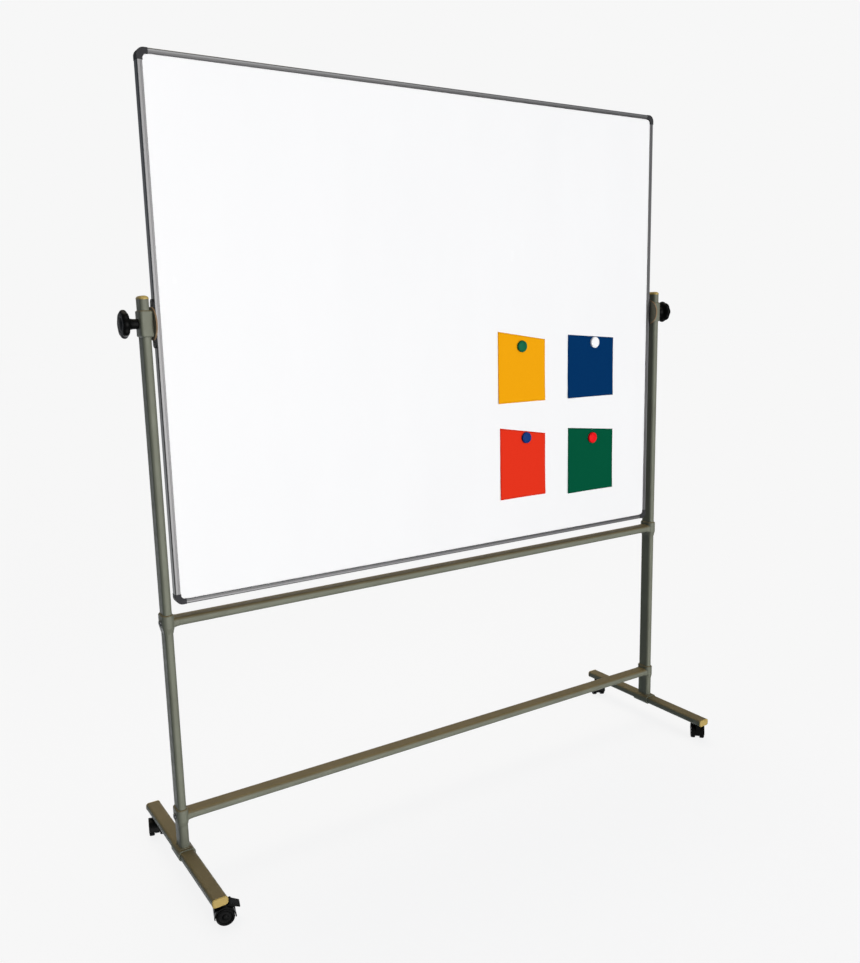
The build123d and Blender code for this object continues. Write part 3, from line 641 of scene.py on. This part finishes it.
def make_notes():
    """Paper notes that lie on the enamel under their magnets and lift a little at the bottom."""
    wide = PAPER_ROWS + 1
    for index, name in enumerate(("yellow", "blue", "red", "green")):
        node = f"note_{name}"
        low_left, low_right, top_right, top_left = note_corners(node)
        points = []
        for row in range(wide):
            v = row / PAPER_ROWS
            for column in range(wide):
                u = column / PAPER_ROWS
                low = low_left * (1 - u) + low_right * u
                top = top_left * (1 - u) + top_right * u
                off = Vector((0, PAPER_T / 2 - paper_lift(u, v, index), 0))
                points.append(tuple(low * (1 - v) + top * v + off))
        faces = []
        for row in range(PAPER_ROWS):
            for column in range(PAPER_ROWS):
                a = row * wide + column
                faces.append((a, a + 1, a + wide + 1, a + wide))
        mesh = bpy.data.meshes.new(node)
        mesh.from_pydata(points, [], faces)
        sheet = piece(f"{node}_paper", mesh, "board", f"paper_{name}", node)
        thick = sheet.modifiers.new("thickness", "SOLIDIFY")
        thick.thickness = PAPER_T
        thick.offset = 0.0


def make_magnets():
    """Round magnets with a soft rim, a shallow groove and a slightly domed top."""
    for name in ("green", "white", "blue", "red"):
        node = f"magnet_{name}"
        low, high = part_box(node)
        r = (high.x - low.x) / 2
        t = high.y - low.y
        outline = [
            (0.0, 0.0),
            (0.0, r - 0.0006),
            (0.0012, r),
            # the rim
            (t - 0.0016, r - 0.0003),
            (t - 0.0002, r - 0.0022),
            # the groove
            (t - 0.0004, r - 0.0034),
            (t - 0.001, r - 0.0042),
            (t - 0.0004, r - 0.005),
            # the dome
            (t, 0.004),
            (t, 0.0),
        ]
        at = Vector(((low.x + high.x) / 2, high.y, (low.z + high.z) / 2))
        label = f"{node}_moulding"
        mesh = turned(label, rounded(outline, MAGNET_SOFT), (0, -1, 0), at, MAGNET_AROUND)
        piece(label, mesh, "board", node, node)


# ---------------------------------------------------------------- casters

WHEEL_GAP = 0.0065
WHEEL_EDGE = 0.020
WHEEL_BORE = 0.0032
WHEEL_AROUND = 96
TYRE_T = 0.0035
TYRE_SOFT = 0.001
HUB_SOFT = 0.0012
HUB_AROUND = 48


def make_wheels():
    """Twin wheels with a soft tyre, a dished side and a hub cap."""
    joints = {joint["name"]: joint for joint in frame["joints"]}
    for place in ("front_left", "front_right", "rear_left", "rear_right"):
        node = f"caster_wheels_{place}"
        axis = Vector(joints[f"wheel_{place}"]["axis"]).normalized()
        low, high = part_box(node)
        middle = (low + high) / 2
        r = (high.z - low.z) / 2
        rim = r - TYRE_T
        wheel = [
            (WHEEL_GAP, WHEEL_BORE),
            # the tread
            (WHEEL_GAP, r - 0.0014),
            (WHEEL_GAP + 0.0022, r),
            (WHEEL_EDGE - 0.0024, r),
            (WHEEL_EDGE - 0.0002, r - 0.0022),
            # the seam between the tyre and the wheel
            (WHEEL_EDGE - 0.0002, rim + 0.0006),
            (WHEEL_EDGE - 0.0012, rim),
            (WHEEL_EDGE - 0.0003, rim - 0.0006),
            (WHEEL_EDGE - 0.0003, rim - 0.002),
            # the dished side
            (WHEEL_EDGE - 0.0028, rim - 0.0036),
            (WHEEL_EDGE - 0.0028, 0.0068),
            # the boss
            (WHEEL_EDGE - 0.0008, 0.006),
            (WHEEL_EDGE - 0.0008, WHEEL_BORE),
        ]
        hub = [
            (WHEEL_EDGE - 0.002, 0.0052),
            (WHEEL_EDGE - 0.0003, 0.0048),
            (WHEEL_EDGE + 0.0001, 0.0),
        ]
        for label, outline, around, slot, nodes in (
            ("tyres", rounded(wheel, TYRE_SOFT, 3), WHEEL_AROUND, "wheel_black", (node,)),
            ("hubs", rounded(hub, HUB_SOFT), HUB_AROUND, "caster_plastic", ()),
        ):
            name = f"{label}_{place}"
            pair = [turned(name, outline, axis * way, middle, around) for way in (-1, 1)]
            piece(name, joined(name, pair), f"wheels_{place}", slot, *nodes)


# ---------------------------------------------------------------- welds

SKIN = 0.0002  # how far a weld stands off the steel under it
POST_CORNER = 0.0082

BEAD_OUT = 0.0013
BEAD_UP = 0.0004
BEAD_CORNER = 0.0093
BEAD_SIZE = 0.0019

SHOULDER_SINK = 0.001
SHOULDER_H = 0.0045
SHOULDER_STEPS = 6

NECK_IN = 0.004
NECK_STEPS = 10
NECK_CORNER = 0.0075
# How much a neck grows towards its collar
NECK_RISE = 0.0015
NECK_SPREAD = 0.003
NECK_ROUND = 0.004
# The crossbar, how far its necks drop and how far they reach
NECKS = (("upper", 0.0065, 0.011), ("lower", 0.0045, 0.008))


def make_foot_weld(side, post_low, post_high):
    """A bead where a post enters its socket on the foot."""
    mesh = bead(
        f"weld_base_{side}",
        Vector(((post_low.x + post_high.x) / 2, 0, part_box(f"foot_socket_{side}")[0].z + BEAD_UP)),
        post_high.x - post_low.x + 2 * BEAD_OUT,
        post_high.y - post_low.y + 2 * BEAD_OUT,
        BEAD_CORNER,
        BEAD_SIZE,
    )
    piece(f"weld_base_{side}", mesh, "stand", "stand_paint")


def make_shoulder(collar, post_low, post_high):
    """A rounded shoulder on top of a collar, up to the post in it."""
    low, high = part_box(collar)
    post = post_high - post_low
    step = (high.y - low.y - post.y) / 2 - SKIN
    rings = []
    for i in range(SHOULDER_STEPS + 1):
        angle = pi / 2 * i / SHOULDER_STEPS
        depth = high.y - low.y - 2 * SKIN - 2 * step * (1 - cos(angle))
        z = high.z - SHOULDER_SINK + SHOULDER_H * sin(angle)
        centre = Vector(((post_low.x + post_high.x) / 2, 0, z))
        more = depth - post.y
        rings.append(ring(centre, LEVEL, post.x + more, depth, POST_CORNER + more / 2))
    piece(f"shoulder_{collar}", lofted(f"shoulder_{collar}", rings), "stand", "stand_paint")


def make_neck(side, sign, level, drop, reach):
    """A smooth neck where a crossbar meets its collar."""
    low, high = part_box(f"{level}_crossbar")
    end_x = high.x if sign > 0 else low.x
    rings = []
    for i in range(NECK_STEPS + 1):
        t = i / NECK_STEPS
        grown = 1 - sqrt(max(0.0, 1 - (1 - t) ** 2))
        x = end_x + sign * (NECK_IN - (reach + NECK_IN) * t)
        top = high.z + SKIN + NECK_RISE * grown
        bottom = low.z - SKIN - drop * grown
        width = high.y - low.y + 2 * SKIN + NECK_SPREAD * grown
        centre = Vector((x, 0, (top + bottom) / 2))
        corner = NECK_CORNER + NECK_ROUND * grown
        rings.append(ring(centre, ACROSS_X, width, top - bottom, corner))
    name = f"neck_{level}_{side}"
    piece(name, lofted(name, rings), "stand", "stand_paint")


def make_welds():
    """Painted welds: beads on the feet, shoulders on the collars and necks on the crossbars."""
    for side, sign in (("left", -1), ("right", 1)):
        post_low, post_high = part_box(f"post_{side}")
        make_foot_weld(side, post_low, post_high)
        for collar in (f"upper_tee_{side}", f"foot_socket_{side}"):
            make_shoulder(collar, post_low, post_high)
        for level, drop, reach in NECKS:
            make_neck(side, sign, level, drop, reach)


# ---------------------------------------------------------------- caps and brackets

CAP_LIP = 0.0004
CAP_STEPS = 12
CAP_WALL = 0.2  # share of a dome's height that is straight
CAP_TIGHTENS = 0.6  # how fast its corners tighten on the way in
CAP_PLUG = 0.0015
FOOT_CORNER = 0.0072
POST_CAP_INSET = 0.0085
FOOT_CAP_INSET = 0.0055

BRACKET_EDGE = 0.0062
BRACKET_RIM = 0.0036
BRACKET_BORE_CORNER = 0.0081
RIM_STEPS = 6


def dome(name, foot, up, plane, width, depth, radius, height, inset):
    """A domed plug end on an outline: a short wall, then a skin that curves inwards."""
    rings = [
        ring(foot, plane, width - 2 * CAP_PLUG, depth - 2 * CAP_PLUG, radius - CAP_PLUG),
        ring(foot, plane, width, depth, radius),
    ]
    wall = height * CAP_WALL
    for i in range(CAP_STEPS + 1):
        angle = pi / 2 * i / CAP_STEPS
        shrink = inset * (1 - cos(angle))
        rise = wall + (height - wall) * sin(angle)
        corner = radius - CAP_TIGHTENS * shrink
        at = foot + Vector(up) * rise
        rings.append(ring(at, plane, width - 2 * shrink, depth - 2 * shrink, corner))
    return lofted(name, rings)


def make_caps():
    """Domed plastic ends of the posts and of the feet."""
    tops = []
    ends = []
    for side in ("left", "right"):
        low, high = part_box(f"post_{side}")
        foot = Vector(((low.x + high.x) / 2, 0, high.z))
        width = high.x - low.x + 2 * CAP_LIP
        depth = high.y - low.y + 2 * CAP_LIP
        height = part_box("post_caps")[1].z - high.z
        shape = (LEVEL, width, depth, POST_CORNER, height, POST_CAP_INSET)
        tops.append(dome("post_cap", foot, (0, 0, 1), *shape))
        low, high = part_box(f"foot_{side}")
        width = high.x - low.x + 2 * CAP_LIP
        depth = high.z - low.z + 2 * CAP_LIP
        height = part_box("foot_end_caps")[1].y - high.y
        shape = (ACROSS_Y, width, depth, FOOT_CORNER, height, FOOT_CAP_INSET)
        for end_y, way in ((low.y, -1), (high.y, 1)):
            foot = Vector(((low.x + high.x) / 2, end_y, (low.z + high.z) / 2))
            ends.append(dome("foot_cap", foot, (0, way, 0), *shape))
    for name, meshes, node in (
        ("post_cap_domes", tops, "post_caps"),
        ("foot_cap_domes", ends, "foot_end_caps"),
    ):
        piece(name, joined(name, meshes), "stand", "cap_plastic", node)


def make_brackets():
    """Cast clamp brackets with generous edges, as sleeves round the posts."""
    for side in ("left", "right"):
        node = f"clamp_bracket_{side}"
        low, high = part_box(node)
        post_low, post_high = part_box(f"post_{side}")
        post = post_high - post_low
        middle = (low + high) / 2
        rings = []
        for end, way in ((low.z, 1), (high.z, -1)):
            edge = []
            for i in range(RIM_STEPS + 1):
                angle = pi / 2 * i / RIM_STEPS
                inset = BRACKET_RIM * (1 - sin(angle))
                z = end + way * BRACKET_RIM * (1 - cos(angle))
                width = high.x - low.x - 2 * inset
                depth = high.y - low.y - 2 * inset
                at = Vector((middle.x, middle.y, z))
                edge.append(ring(at, LEVEL, width, depth, BRACKET_EDGE - 0.5 * inset))
            at = Vector(((post_low.x + post_high.x) / 2, 0, end))
            bore = ring(at, LEVEL, post.x + CAP_LIP, post.y + CAP_LIP, BRACKET_BORE_CORNER)
            rings += [bore, *edge] if way > 0 else [*reversed(edge), bore]
        rings.append(rings[0])
        mesh = lofted(f"{node}_casting", rings, closed=False)
        piece(f"{node}_casting", mesh, "stand", "stand_paint", node)


# ---------------------------------------------------------------- everything

make_camera()
materials = make_materials()
make_floor()
make_sky()
finish_cad_nodes()
make_knobs()
make_notes()
make_magnets()
make_wheels()
make_welds()
make_caps()
make_brackets()
